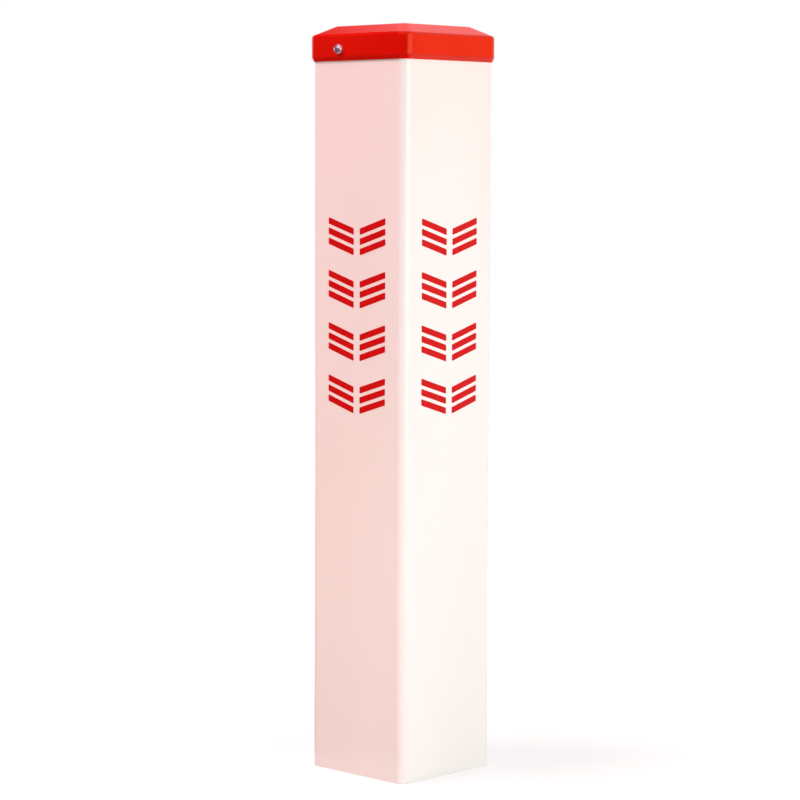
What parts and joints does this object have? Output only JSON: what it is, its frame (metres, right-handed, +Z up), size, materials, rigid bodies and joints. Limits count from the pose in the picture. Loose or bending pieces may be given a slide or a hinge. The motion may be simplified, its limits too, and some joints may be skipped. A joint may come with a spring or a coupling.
{
  "type": "utility marker post",
  "caption": "Square hollow plastic marker post, open at its foot and closed by a red cap held by screws, to stand in the ground above a buried line.",
  "frame": {"origin": "middle of the foot, on the surface that the post stands on", "axes": "+Z up along the post; the four faces look along -Y, +X, +Y and -X, and the screw that the picture shows is on the -Y face"},
  "size_m": [0.109, 0.1172, 0.6],
  "materials": {
    "white_pvc": "extruded rigid PVC, warm white, soft gloss",
    "red_plastic": "moulded, signal red, glossy",
    "plated_steel": "bright zinc or nickel plate",
    "red_print": "screen-printed ink on the tube's faces"
  },
  "bodies": {
    "root": {"post_tube": "white_pvc", "end_cap": "red_plastic", "cap_screws": "plated_steel"}
  },
  "joints": []
}
